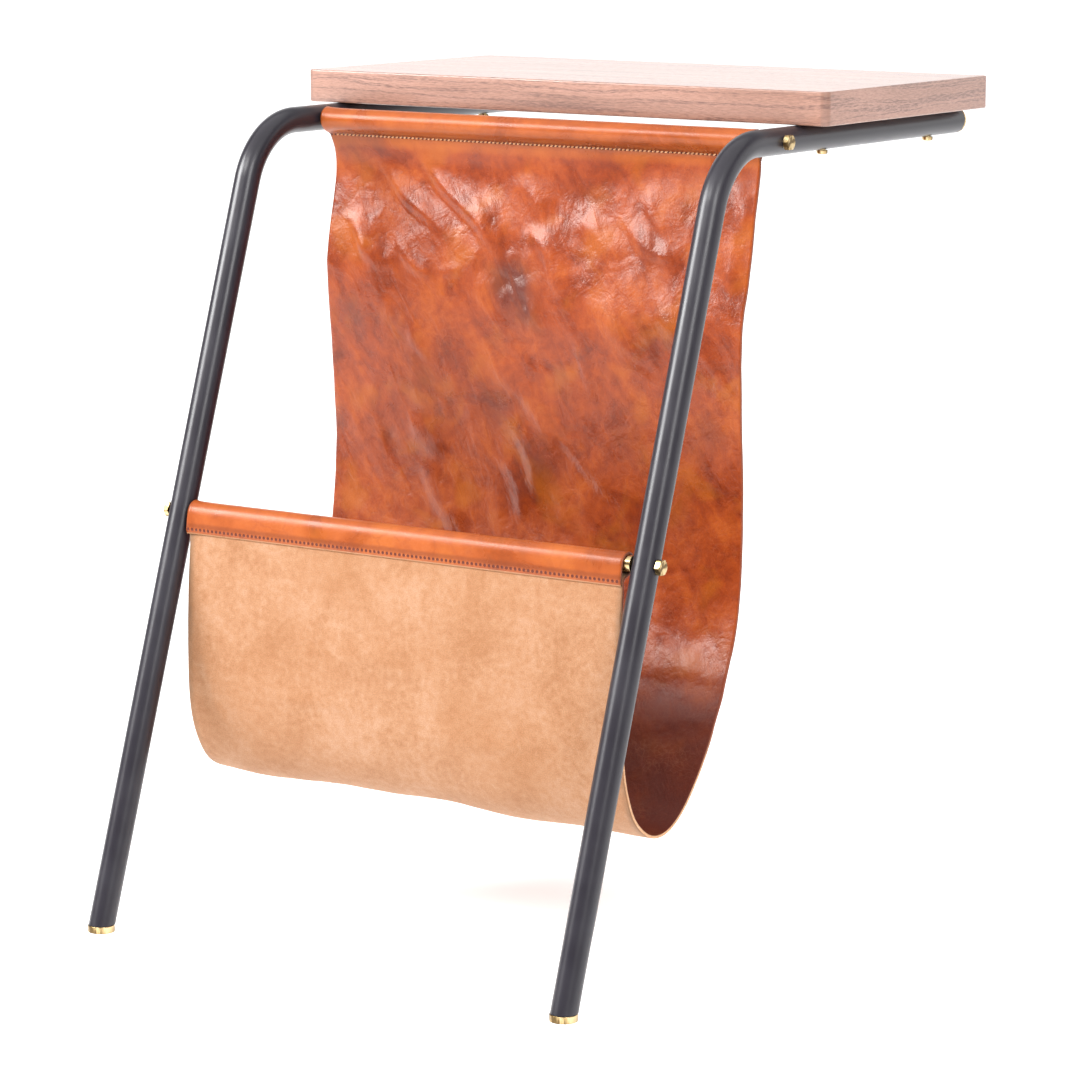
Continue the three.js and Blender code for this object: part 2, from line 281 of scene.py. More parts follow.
def leather_colour(tree, flat, patches, clouds, creases):
    """Mottled cognac, with paler loops over the rods, darker lines along the creases that are
    painted shade in them, and faint paler lines along the finest creases.
    """
    mottles = cloudy(tree, flat, 130, 3, 0.55, 0.5)
    speckle = cloudy(tree, flat, 700, 3, 0.7)
    mottle = weighted(tree, (patches, 0.56), (clouds, 0.17), (mottles, 0.18), (speckle, 0.09))
    base = ramp(
        tree,
        mottle,
        (0.39, rgb(0.120, 0.0180, 0.0060)),
        (0.46, rgb(0.176, 0.0262, 0.0060)),
        (0.53, rgb(0.230, 0.0375, 0.0066)),
        (0.61, rgb(0.292, 0.0570, 0.0085)),
    )
    honey = between(tree, cloudy(tree, flat, 26, 3, 0.5, 0.3), 0.50, 0.70, 0.0, 0.55)
    warmed = blend_colours(tree, honey, base, rgb(0.300, 0.074, 0.0065))
    _, hanging = parts_of(tree, "rim")
    loops = between(tree, hanging, 0.0, 0.08, 1.0, 0.0)
    paler = between(tree, patches, 0.34, 0.60, 0.30, 0.55)
    warmed = tint(tree, warmed, rgb(0.350, 0.088, 0.0160), loops, paler)
    lines, fine = creases
    # Painted shade: darker lines along the creases stand in for the shade inside them.
    crease_shaded = tint(tree, warmed, rgb(0.16, 0.028, 0.010), lines, 0.22)
    return tint(tree, crease_shaded, rgb(0.38, 0.13, 0.055), fine, 0.10)


def leather_wear(tree, base, patches, clouds, fine):
    """Darkens the pocket as painted shade, with some wear, darkens the dark spots, partly painted
    shade in the dents, and scuffs the pocket's finest creases.
    """
    pocket_shade_and_wear, darkened = parts_of(tree, "age")
    darkening = between(tree, patches, 0.35, 0.65, 0.90, 0.70)
    # Painted shade: the deep pocket is darkened, with some wear.
    darker = tint(tree, base, rgb(0.086, 0.0140, 0.0080), pocket_shade_and_wear, darkening)
    scuffs = between(tree, fine, 0.0, 1.0, 0.0, 0.3)
    scuffed = tint(tree, darker, rgb(0.21, 0.068, 0.036), pocket_shade_and_wear, scuffs)
    # Painted shade in the dents, and darker patches of the leather elsewhere.
    spot_darkening = between(tree, clouds, 0.35, 0.65, 0.9, 0.6)
    return tint(tree, scuffed, rgb(0.085, 0.022, 0.016), darkened, spot_darkening)


def leather_seams(tree, base, holes, groove_shade):
    """A painted highlight along the flap's pared end, painted shade in the hollow above the
    stitches, and the stitches' holes, painted dark as the shade inside them.
    """
    _, to_end = parts_of(tree, "seam")
    # Painted highlight: a pale band along the flap's pared end stands in for light on its rounded
    # edge.
    rim = between(tree, to_end, 0.7 * MM, 1.2 * MM, 0.85, 0.0)
    end_lightened = blend_colours(tree, rim, base, rgb(0.42, 0.215, 0.11))
    # Painted shade: the band just above the stitches is darkened as the shade of the hollow under
    # the loop.
    groove_shaded = tint(tree, end_lightened, rgb(0.12, 0.025, 0.008), groove_shade, 0.5)
    # Painted shade: the needle holes are painted dark, as the shade inside them.
    return blend_colours(tree, holes, groove_shaded, rgb(0.085, 0.012, 0.005))


def leather_relief(tree, flat, clouds, creases, holes):
    """Heights of the grain side, in metres. The loops over the rods are nearly flat."""
    lines, fine = creases
    pocket_shade_and_wear, _ = parts_of(tree, "age")
    _, hanging = parts_of(tree, "rim")
    wrinkles = weighted(
        tree,
        (cloudy(tree, flat, 44, 3, 0.5, 1.2), 0.75 * MM),
        (cloudy(tree, flat, 130, 3, 0.6, 0.5), 0.24 * MM),
        (clouds, 0.7 * MM),
        (lines, -0.05 * MM),
        (fine, -0.015 * MM),
    )
    flatter = between(tree, hanging, 0.0, 1.0, 0.12, 1.0)
    flatter = product(tree, flatter, between(tree, pocket_shade_and_wear, 0.1, 0.7, 1.0, 0.95))
    ripples = cloudy(tree, stretched(tree, flat, (50, 80, 1)), 1.0, 4, 0.55, 0.9)
    return weighted(
        tree,
        (product(tree, wrinkles, flatter), 1.0),
        (product(tree, ripples, pocket_shade_and_wear), 0.45 * MM),
        (cloudy(tree, flat, 420, 4, 0.65), 0.06 * MM),
        (cells(tree, flat, 1100), 0.015 * MM),
        (holes, -0.5 * MM),
    )


def smooth_leather():
    """The cognac grain side of the sling: mottled, creased and waxed."""
    material, tree, shader = new_material("smooth_leather")
    flat = uv_of(tree, "sheet")
    slanting = add(
        tree,
        "ShaderNodeMapping",
        {"Vector": flat, "Rotation": (0, 0, math.radians(-30)), "Scale": (1 / 90, 1 / 26, 1)},
        vector_type="TEXTURE",
    ).outputs[0]
    patches = cloudy(tree, flat, 19, 5, 0.58, 0.6)
    clouds = cloudy(tree, slanting, 1.0, 4, 0.5, 0.8)
    creases = leather_creases(tree, flat)
    holes, groove_shade = seam_marks(tree)
    colour = leather_colour(tree, flat, patches, clouds, creases)
    colour = leather_wear(tree, colour, patches, clouds, creases[1])
    colour = leather_seams(tree, colour, holes, groove_shade)
    relief = leather_relief(tree, flat, clouds, creases, holes)
    pocket_shade_and_wear, _ = parts_of(tree, "age")
    gloss = between(tree, patches, 0.35, 0.65, 0.25, 0.36)
    look = {
        "Base Color": colour,
        "Roughness": calculate(tree, "ADD", gloss, between(tree, pocket_shade_and_wear, 0.5, 1.0, 0.0, 0.24)),
        "Normal": bump(tree, relief, 1.0),
        "Specular IOR Level": 0.28,
        "Specular Tint": rgb(1.0, 0.88, 0.82),
    }
    feed(tree, shader, look)
    return material


def leather_creases(tree, flat):
    """Two nets of wrinkles: long soft ones, and a fine one inside them."""
    wander = add(tree, "ShaderNodeTexNoise", {"Vector": flat, "Scale": 45.0, "Detail": 4.0})
    shift = add(
        tree, "ShaderNodeVectorMath", {0: wander.outputs["Color"], "Scale": 0.03}, operation="SCALE"
    )
    at = vector_sum(tree, flat, shift.outputs[0])
    where = between(tree, cloudy(tree, flat, 19, 3), 0.46, 0.64)
    veins = between(tree, cells(tree, at, 48, "DISTANCE_TO_EDGE"), 0.0, 0.07, 1.0, 0.0)
    fine = between(tree, cells(tree, at, 210, "DISTANCE_TO_EDGE"), 0.0, 0.12, 1.0, 0.0)
    return (
        product(tree, veins, where),
        product(tree, fine, between(tree, where, 0.0, 1.0, 0.35, 1.0)),
    )


def suede():
    """The flesh side of the sling: pale, cloudy and napped."""
    material, tree, shader = new_material("suede")
    flat = uv_of(tree, "sheet")
    clouds = cloudy(tree, stretched(tree, flat, (24, 21, 1)), 1.0, 6, 0.62, 0.6)
    spots = cloudy(tree, flat, 190, 5, 0.7)
    nap = cloudy(tree, flat, 1300, 3, 0.6)
    mottle = weighted(tree, (clouds, 0.52), (spots, 0.48))
    base = ramp(
        tree,
        mottle,
        (0.38, rgb(0.268, 0.119, 0.053)),
        (0.50, rgb(0.323, 0.160, 0.081)),
        (0.62, rgb(0.368, 0.204, 0.121)),
    )
    tanned = between(tree, cloudy(tree, flat, 9, 3, 0.6, 0.4), 0.42, 0.66, 0.0, 0.45)
    base = blend_colours(tree, tanned, base, rgb(0.292, 0.130, 0.056))
    creases, _ = leather_creases(tree, flat)
    base = tint(tree, base, rgb(0.42, 0.26, 0.17), creases, 0.14)
    fibres = between(tree, nap, 0.3, 0.7, 0.80, 1.12)
    shade = add(tree, "ShaderNodeCombineColor", {0: fibres, 1: fibres, 2: fibres}).outputs[0]
    napped = blend_colours(tree, 1.0, base, shade, "MULTIPLY")
    across, _ = parts_of(tree, "sheet")
    from_middle = calculate(tree, "ABSOLUTE", across)
    half = SLING_WIDTH / 2
    # Painted shade of the curled side edges, in grimy patches: darker towards both side edges.
    edge_shade_and_grime = between(tree, from_middle, half - 7 * MM, half - 0.5 * MM)
    edge_shade_and_grime = product(tree, edge_shade_and_grime, between(tree, clouds, 0.35, 0.6, 0.35, 0.75))
    edge_darkened = blend_colours(tree, edge_shade_and_grime, napped, rgb(0.150, 0.082, 0.045))
    # Painted shade: the needle holes are painted dark below, as the shade inside them.
    holes, _ = seam_marks(tree)
    waves = bump(tree, cloudy(tree, flat, 60, 4), 0.9 * MM, 0.4)
    look = {
        "Base Color": blend_colours(tree, holes, edge_darkened, rgb(0.20, 0.06, 0.03)),
        "Roughness": 0.9,
        "Normal": bump(tree, nap, 0.15 * MM, 0.55, waves),
        "Specular IOR Level": 0.15,
        "Sheen Weight": 0.25,
        "Sheen Roughness": 0.5,
        "Sheen Tint": rgb(1.0, 0.85, 0.7),
    }
    feed(tree, shader, look)
    return material


def leather_edge():
    """The cut edge of the sling: pale fibres between a darker skin and the nap."""
    material, tree, shader = new_material("leather_edge")
    place = place_in_piece(tree)
    fibres = cloudy(tree, place, 900, 4, 0.65)
    patches = cloudy(tree, place, 70, 3)
    base = ramp(
        tree,
        fibres,
        (0.30, rgb(0.33, 0.16, 0.075)),
        (0.52, rgb(0.54, 0.30, 0.155)),
        (0.72, rgb(0.62, 0.39, 0.24)),
    )
    blotches = between(tree, patches, 0.4, 0.7, 0.0, 0.3)
    toned = blend_colours(tree, blotches, base, rgb(0.46, 0.21, 0.09))
    pale, _ = parts_of(tree, "rim")
    darkened = blend_colours(tree, pale, rgb(0.19, 0.045, 0.016), toned)
    relief = bump(tree, fibres, 0.12 * MM, 0.7)
    feed(tree, shader, {"Base Color": darkened, "Roughness": 0.7, "Normal": relief})
    return material


def waxed_thread():
    material, tree, shader = new_material("waxed_thread")
    place = place_in_piece(tree)
    tone = cloudy(tree, place, 260, 2)
    base = ramp(tree, tone, (0.35, rgb(0.48, 0.22, 0.10)), (0.65, rgb(0.62, 0.34, 0.18)))
    twist = add(
        tree,
        "ShaderNodeTexWave",
        {"Vector": place, "Scale": 900.0, "Distortion": 0.6},
        bands_direction="DIAGONAL",
    ).outputs["Fac"]
    look = {
        "Base Color": base,
        "Roughness": 0.7,
        "Normal": bump(tree, twist, 0.08 * MM, 0.6),
        "Specular IOR Level": 0.25,
    }
    feed(tree, shader, look)
    return material


def black_paint():
    """Satin powder coat, with its faint orange peel."""
    material, tree, shader = new_material("black_paint")
    place = place_in_piece(tree)
    peel = cloudy(tree, place, 900, 3, 0.5)
    broad = cloudy(tree, place, 30, 3)
    base = ramp(tree, broad, (0.3, rgb(0.012, 0.010, 0.015)), (0.7, rgb(0.017, 0.015, 0.021)))
    look = {
        "Base Color": base,
        "Roughness": between(tree, broad, 0.3, 0.7, 0.30, 0.35),
        "Normal": bump(tree, peel, 0.02 * MM, 0.2),
        "Specular IOR Level": 0.45,
    }
    feed(tree, shader, look)
    return material


def satin_brass():
    """Turned brass: fine rings about the piece's own Z axis, and dark streaks along it that are
    painted dark reflections, on partly tarnished brass.
    """
    material, tree, shader = new_material("satin_brass")
    place = place_in_piece(tree)
    # Painted reflection: dark streaks along Z stand in for dark reflections, partly tarnished
    # brass; they also vary the roughness.
    tarnish_and_dark_reflections = cloudy(tree, stretched(tree, place, (150, 150, 25)), 1.0, 4, 0.6)
    scratches = cloudy(tree, stretched(tree, place, (300, 300, 4000)), 1.0, 2)
    base = ramp(
        tree,
        tarnish_and_dark_reflections,
        (0.45, rgb(0.13, 0.085, 0.036)),
        (0.51, rgb(0.42, 0.300, 0.140)),
        (0.60, rgb(0.62, 0.475, 0.26)),
    )
    look = {
        "Base Color": base,
        "Roughness": between(tree, tarnish_and_dark_reflections, 0.35, 0.7, 0.32, 0.18),
        "Normal": bump(tree, scratches, 0.02 * MM, 0.5),
        "Metallic": 1.0,
    }
    feed(tree, shader, look)
    return material


# ------------ mesh helpers


def into_scene(name, data):
    made = bpy.data.objects.new(name, data)
    bpy.context.scene.collection.objects.link(made)
    return made


def make_piece(name, points, faces, materials, slot, replaces=(), face_materials=None, uvs=None):
    """A smooth-shaded mesh piece, which place_piece then sets on the body. uvs maps a layer's name
    to one (u, v) pair for each face corner."""
    mesh = bpy.data.meshes.new(name)
    mesh.from_pydata([tuple(p) for p in points], [], [tuple(f) for f in faces])
    for layer_name, pairs in (uvs or {}).items():
        layer = mesh.uv_layers.new(name=layer_name)
        layer.data.foreach_set("uv", np.asarray(pairs, dtype=np.float32).ravel())
    for material in materials:
        mesh.materials.append(material)
    if face_materials is not None:
        mesh.polygons.foreach_set("material_index", np.asarray(face_materials, dtype=np.int32))
    mesh.polygons.foreach_set("use_smooth", np.ones(len(mesh.polygons), dtype=bool))
    mesh.update()
    piece = into_scene(name, mesh)
    if replaces:
        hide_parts(*replaces)
    return piece


def place_piece(piece, matrix=None):
    if matrix is not None:
        piece.matrix_world = matrix
    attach(piece, BODY)
    return piece


def turns(sides):
    """The angles of evenly spaced points round a circle."""
    return [2 * math.pi * i / sides for i in range(sides)]


def circle(radius, height, sides=64):
    """A level ring of points."""
    return [Vector((radius * math.cos(a), radius * math.sin(a), height)) for a in turns(sides)]


def skin(rings):
    """Joins rings of equal size, in order, into a tube, with a fan over each end."""
    sides = len(rings[0])
    points = [p for ring in rings for p in ring]
    faces = []
    for level in range(len(rings) - 1):
        low, high = level * sides, (level + 1) * sides
        for i in range(sides):
            j = (i + 1) % sides
            faces.append((low + i, low + j, high + j, high + i))
    for ring, start, flip in ((rings[0], 0, True), (rings[-1], len(points) - sides, False)):
        hub = len(points)
        points.append(sum(ring, Vector()) / sides)
        for i in range(sides):
            j = (i + 1) % sides
            faces.append((hub, start + j, start + i) if flip else (hub, start + i, start + j))
    return points, faces


def turned(profile):
    """A turned solid about +Z, from [radius, height] pairs, lowest first."""
    return skin([circle(radius, height) for radius, height in profile])


def eased(radius, low, high, ease, steps=5, hold=0.15 * MM):
    """The profile of a disc with both of its rims rounded."""
    profile = [(radius - ease - hold, low)]
    for i in range(steps + 1):
        a = math.pi / 2 * i / steps
        profile.append((radius - ease + ease * math.sin(a), low + ease - ease * math.cos(a)))
    for i in range(steps + 1):
        a = math.pi / 2 * i / steps
        profile.append((radius - ease + ease * math.cos(a), high - ease + ease * math.sin(a)))
    profile.append((radius - ease - hold, high))
    return profile


def flatten_by_angle(piece, degrees=25):
    """Marks edges sharper than an angle, so that facets stay crisp."""
    piece.data.set_sharp_from_angle(angle=math.radians(degrees))


def make_brass(name, mesh, *replaces):
    """A brass piece from (points, faces), standing for the nodes that it replaces."""
    return make_piece(name, *mesh, [MATERIALS["brass"]], "brass", replaces)


# ------------ the board


def board_outline(half, inset):
    """The board's outline with its rounded corners, moved inwards by an inset."""
    corner, steps = 6 * MM, 12
    ring = []
    for quarter, (sx, sy) in enumerate(((1, 1), (-1, 1), (-1, -1), (1, -1))):
        hub = Vector((sx * (half.x - corner), sy * (half.y - corner)))
        for i in range(steps + 1):
            a = math.pi / 2 * (quarter + i / steps)
            ring.append(hub + Vector((math.cos(a), math.sin(a))) * (corner - inset))
    return ring


def make_board():
    """A slab with rounded upright corners and finely eased edges."""
    half = (BOARD_HIGH - BOARD_LOW) / 2
    centre = (BOARD_HIGH + BOARD_LOW) / 2
    profile = eased(0.0, -half.z, half.z, ease=1.2 * MM, hold=0.4 * MM)
    levels = [(-radius, z) for radius, z in profile]

    around = board_outline(half, 0)
    count = len(around)
    walked = [0.0]
    for i in range(count):
        walked.append(walked[-1] + (around[(i + 1) % count] - around[i]).length)

    points, faces, uv = [], [], []
    for inset, z in levels:
        points += [centre + Vector((p.x, p.y, z)) for p in board_outline(half, inset)]
    side_levels = range(1, len(levels) - 2)
    for level in range(len(levels) - 1):
        low, high = level * count, (level + 1) * count
        for i in range(count):
            j = (i + 1) % count
            quad = (low + i, low + j, high + j, high + i)
            faces.append(quad)
            if level in side_levels:
                below, above = levels[level][1], levels[level + 1][1]
                start, end = walked[i], walked[i + 1]
                uv += [(start, below), (end, below), (end, above), (start, above)]
            else:
                uv += [(points[k].x, points[k].y) for k in quad]
    for start, flip in ((0, True), ((len(levels) - 1) * count, False)):
        ring = [start + i for i in range(count)]
        if flip:
            ring.reverse()
        faces.append(ring)
        uv += [(points[k].x, points[k].y) for k in ring]
    wood = [MATERIALS["walnut"]]
    board = make_piece("board_walnut", points, faces, wood, "walnut", ["board"], uvs={"grain": uv})
    for face in list(board.data.polygons)[-2:]:
        face.use_smooth = False
    place_piece(board)


# ------------ side tubes and feet


def tube_line():
    """The middle line of a side tube as (place, direction) pairs, in the plane x = 0."""
    sideways = Vector((0, 1, 0))
    knee = LEG_START + LEG_UP * ((ARM_HEIGHT - LEG_START.z) / LEG_UP.z)
    turn = LEG_UP.angle(sideways)
    setback = BEND_RADIUS * math.tan(turn / 2)
    bend_start = knee - LEG_UP * setback
    centre = Vector((0, knee.y + setback, ARM_HEIGHT - BEND_RADIUS))
    cut_at = LEG_START + LEG_UP * (FOOT_HEIGHT / 2 + GAP) / LEG_UP.z
    line = [(cut_at, LEG_UP), (cut_at + LEG_UP * 6 * MM, LEG_UP)]
    steps = 36
    for i in range(steps + 1):
        spin = Matrix.Rotation(-turn * i / steps, 4, "X")
        line.append((centre + spin @ (bend_start - centre), spin @ LEG_UP))
    line.append((Vector((0, ARM_END - 1 * MM, ARM_HEIGHT)), sideways))
    line.append((Vector((0, ARM_END, ARM_HEIGHT)), sideways))
    return line


def make_side_tube(side, sign):
    across = Vector((1, 0, 0))
    rings = []
    for place, direction in tube_line():
        ahead = direction.cross(across)
        around = [across * math.cos(a) + ahead * math.sin(a) for a in turns(64)]
        rings.append([place + offset * TUBE_RADIUS for offset in around])
    level = FOOT_HEIGHT + GAP
    rings[0] = [p - LEG_UP * ((p.z - level) / LEG_UP.z) for p in rings[0]]
    points, faces = skin(rings)
    points = [p + Vector((sign * TUBE_X, 0, 0)) for p in points]
    paint, nodes = [MATERIALS["black_paint"]], [f"side_tube_{side}"]
    tube = make_piece(f"side_tube_{side}_coated", points, faces, paint, "tube_paint", nodes)
    flatten_by_angle(tube)
    place_piece(tube)


def make_foot(side, sign):
    mesh = turned(eased(FOOT_RADIUS, 0.0, FOOT_HEIGHT, ease=0.5 * MM))
    foot = make_brass(f"foot_{side}_brass", mesh, f"foot_{side}")
    place_piece(foot, Matrix.Translation((sign * TUBE_X, FOOT_Y, 0)))


def make_arm_cap(side, sign):
    _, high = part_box(f"arm_cap_{side}")
    mesh = turned(eased(TUBE_RADIUS, ARM_END + GAP - high.y, 0.0, ease=0.9 * MM))
    cap = make_brass(f"arm_cap_{side}_brass", mesh, f"arm_cap_{side}")
    turn = Matrix.Rotation(-math.pi / 2, 4, "X")
    place_piece(cap, Matrix.Translation((sign * TUBE_X, high.y, ARM_HEIGHT)) @ turn)


# ------------ rods and bolts


def make_rod(level):
    low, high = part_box(f"rod_{level}")
    half = (high.x - low.x) / 2
    mesh = turned(eased(ROD_RADIUS, -half, half, ease=0.4 * MM))
    rod = make_brass(f"rod_{level}_brass", mesh, f"rod_{level}")
    turn = Matrix.Rotation(math.pi / 2, 4, "Y")
    place_piece(rod, Matrix.Translation(RODS[level]) @ turn)


def hexagon_radius(angle, across_flats):
    """The distance from a hexagon's centre to its outline, a corner being at angle 0."""
    sixth = math.pi / 3
    return across_flats / 2 / math.cos((angle % sixth) - sixth / 2)


def limited_ring(height, limit, across_flats, sides=96):
    """A ring that follows a hexagon, but never goes past a circle."""
    ring = []
    for a in turns(sides):
        radius = min(hexagon_radius(a, across_flats), limit)
        ring.append(Vector((radius * math.cos(a), radius * math.sin(a), height)))
    return ring


def hexagon_head(across_flats, height):
    """A hexagon bolt head with the usual chamfer on its corners, and a crisp edge."""
    corner = across_flats / math.sqrt(3)
    slope = math.tan(math.radians(30))
    top_radius = across_flats / 2 * 0.96
    rings = [limited_ring(0, corner - 0.3 * MM, across_flats)]
    rings.append(limited_ring(0.25 * MM, corner, across_flats))
    for i in range(9):
        drop = (corner - top_radius) * slope * (1 - i / 8)
        rings.append(limited_ring(height - drop, top_radius + drop / slope, across_flats))
    rings.append(limited_ring(height, top_radius - 0.2 * MM, across_flats))
    return rings


def make_rod_bolt(level, side, sign):
    node = f"rod_bolt_{level}_{side}"
    low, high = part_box(node)
    across_flats = high.z - low.z
    outer = TUBE_X + TUBE_RADIUS + GAP
    height = max(abs(low.x), abs(high.x)) - outer
    shank = 3 * MM
    base = [circle(shank, -2 * TUBE_RADIUS, 96), circle(shank, 0, 96)]
    bolt = make_brass(f"{node}_brass", skin(base + hexagon_head(across_flats, height)), node)
    flatten_by_angle(bolt)
    turn = Matrix.Rotation(sign * math.pi / 2, 4, "Y") @ Matrix.Rotation(math.pi / 2, 4, "Z")
    centre = Vector((sign * outer, RODS[level].y, RODS[level].z))
    place_piece(bolt, Matrix.Translation(centre) @ turn)


def make_board_screw(place):
    node = f"board_screw_{place}"
    low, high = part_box(node)
    radius = (high.x - low.x) / 2
    dome = 1.4 * MM
    height = 3 * MM
    socket = 4 * MM
    socket_depth = 1.8 * MM
    sides = 96
    shank = 2.5 * MM
    rings = [circle(shank, 2 * TUBE_RADIUS, sides), circle(shank, 0, sides)]
    rings += [circle(radius - 0.2 * MM, 0, sides), circle(radius, -0.2 * MM, sides)]
    for i in range(9):
        a = math.pi / 2 * i / 8
        ring_radius = radius - dome + dome * math.cos(a)
        rings.append(circle(ring_radius, -height + dome - dome * math.sin(a), sides))
    rim = socket / math.sqrt(3)
    rings.append(limited_ring(-height, rim, socket + 0.3 * MM))
    rings.append(limited_ring(-height + 0.15 * MM, rim, socket))
    rings.append(limited_ring(-height + socket_depth, rim, socket))
    rings.reverse()
    screw = make_brass(f"{node}_brass", skin(rings), node, f"board_insert_{place}")
    flatten_by_angle(screw)
    centre = (low + high) / 2
    seat = ARM_HEIGHT - TUBE_RADIUS - GAP
    place_piece(screw, Matrix.Translation((centre.x, centre.y, seat)))


# ------------ the sling

SEAM_BELOW_ROD = 10 * MM
FLAP_BELOW_SEAM = 4.4 * MM
THREAD_BELOW_SEAM = 1 * MM

# The flap side of each seam, +1 behind the sheet and -1 ahead of it, and how far
# to that side of the rod's axis the seam hangs, as in the frame.
SEAM_SIDES = {"upper": 1, "lower": -1}
SEAM_OFFSETS = {"upper": 6 * MM, "lower": 8 * MM}

# Each seam's thread: its radius, and how far its ends stand above the leather.
THREADS = {"upper": (0.66 * MM, -0.30 * MM), "lower": (0.36 * MM, -0.88 * MM)}
STITCH_SPAN = 0.74  # of the pitch
STITCH_ARCH = 0.55 * MM
STITCH_SLANT = 1.1 * MM
STITCH_MARGIN = 2.2 * MM

# Points along the sheet: in its panel, round a rod, beside a rod, beside a seam.
PANEL_STEPS, LOOP_STEPS, DROP_STEPS, SEAM_STEPS = 262, 28, 7, 4
COLUMNS = 180

# The hanging line at the sling's two ends: [distance ahead of the board, height],
# from the upper seam down the back, round the bottom and up the front.
LEFT_LINE = [
    [16, 535], [18, 512], [27, 472], [27, 440], [22, 395], [17, 345],
    [17, 305], [22, 268], [33, 230], [56, 183], [88, 135], [118, 107],
    [148, 98], [175, 107], [190, 127], [198, 155], [199, 200], [197, 250],
]
RIGHT_LINE = [
    [24, 535], [29, 510], [37, 468], [44.5, 435], [44, 395], [42, 345],
    [41.5, 305], [44, 262], [49, 228], [64, 184], [90, 137], [120, 104],
    [150, 94.5], [176, 108], [189, 132], [195, 158], [198, 205], [198, 250],
]


def spline(points, count):
    """Evenly spaced points on a smooth curve through points."""
    points = np.asarray(points, dtype=float)
    padded = np.vstack([2 * points[0] - points[1], points, 2 * points[-1] - points[-2]])
    t = np.linspace(0, 1, 40, endpoint=False)[:, None]
    fine = []
    for before, start, end, after in zip(padded, padded[1:], padded[2:], padded[3:]):
        square = 2 * before - 5 * start + 4 * end - after
        cube = 3 * start - before - 3 * end + after
        fine.append(0.5 * (2 * start + (end - before) * t + square * t**2 + cube * t**3))
    fine = np.vstack([*fine, points[-1]])
    walked = np.concatenate([[0], np.cumsum(np.linalg.norm(np.diff(fine, axis=0), axis=1))])
    at = np.linspace(0, walked[-1], count)
    return np.stack([np.interp(at, walked, fine[:, k]) for k in (0, 1)], axis=1)


def straight(start, end, count):
    """count points from start towards end, without end."""
    t = np.linspace(0, 1, count, endpoint=False)[:, None]
    return (1 - t) * np.asarray(start) + t * np.asarray(end)


def loop_over(level, first, last, radius):
    """The line from first, round a rod and over it, towards last."""
    rod = np.array([RODS[level].y, RODS[level].z])
    first_from, last_from = first - rod, last - rod
    start = math.atan2(first_from[1], first_from[0]) + math.acos(radius / np.hypot(*first_from))
    end = math.atan2(last_from[1], last_from[0]) - math.acos(radius / np.hypot(*last_from))
    end += 2 * math.pi * math.ceil((start - end) / (2 * math.pi))
    angles = np.linspace(start, end, LOOP_STEPS)
    arc = rod + radius * np.stack([np.cos(angles), np.sin(angles)], axis=1)
    before, after = straight(first, arc[0], DROP_STEPS), straight(arc[-1], last, DROP_STEPS)
    return np.vstack([before, arc[:-1], after])


def seam_ends(level):
    """The sheet's and the flap's middle lines at a seam, from the seam downwards."""
    side = SEAM_SIDES[level]
    top = RODS[level].z - SEAM_BELOW_ROD
    half = LEATHER / 2 + 0.04 * MM
    y_of = {
        "sheet": RODS[level].y + side * (SEAM_OFFSETS[level] - half),
        "flap": RODS[level].y + side * (SEAM_OFFSETS[level] + half),
    }
    return {
        name: (np.array([y, top]), np.array([y, top - FLAP_BELOW_SEAM])) for name, y in y_of.items()
    }


def sling_line(hanging):
    """The sling's whole middle line as (y, z) rows, from flap to flap."""
    radius = ROD_RADIUS + GAP + LEATHER / 2 + 0.2 * MM
    upper, lower = seam_ends("upper"), seam_ends("lower")
    panel = [(BOARD_LOW.y - ahead * MM, z * MM) for ahead, z in hanging]
    parts = [
        straight(upper["flap"][1], upper["flap"][0], SEAM_STEPS),
        loop_over("upper", upper["flap"][0], upper["sheet"][0], radius),
        straight(upper["sheet"][0], upper["sheet"][1], SEAM_STEPS),
        spline([upper["sheet"][1], *panel, lower["sheet"][1]], PANEL_STEPS)[:-1],
        straight(lower["sheet"][1], lower["sheet"][0], SEAM_STEPS),
        loop_over("lower", lower["sheet"][0], lower["flap"][0], radius),
        straight(lower["flap"][0], lower["flap"][1], SEAM_STEPS),
        [lower["flap"][1]],
    ]
    return np.vstack(parts)


def relaxed(line, rounds=9):
    """The line with its kinks rounded off, and its ends held."""
    line = line.copy()
    for _ in range(rounds):
        line[1:-1] = 0.25 * line[:-2] + 0.5 * line[1:-1] + 0.25 * line[2:]
    return line


def walked_along(line):
    return np.concatenate([[0], np.cumsum(np.linalg.norm(np.diff(line, axis=0), axis=1))])


def fade(value, low, high):
    t = np.clip((value - low) / (high - low), 0, 1)
    return t * t * (3 - 2 * t)


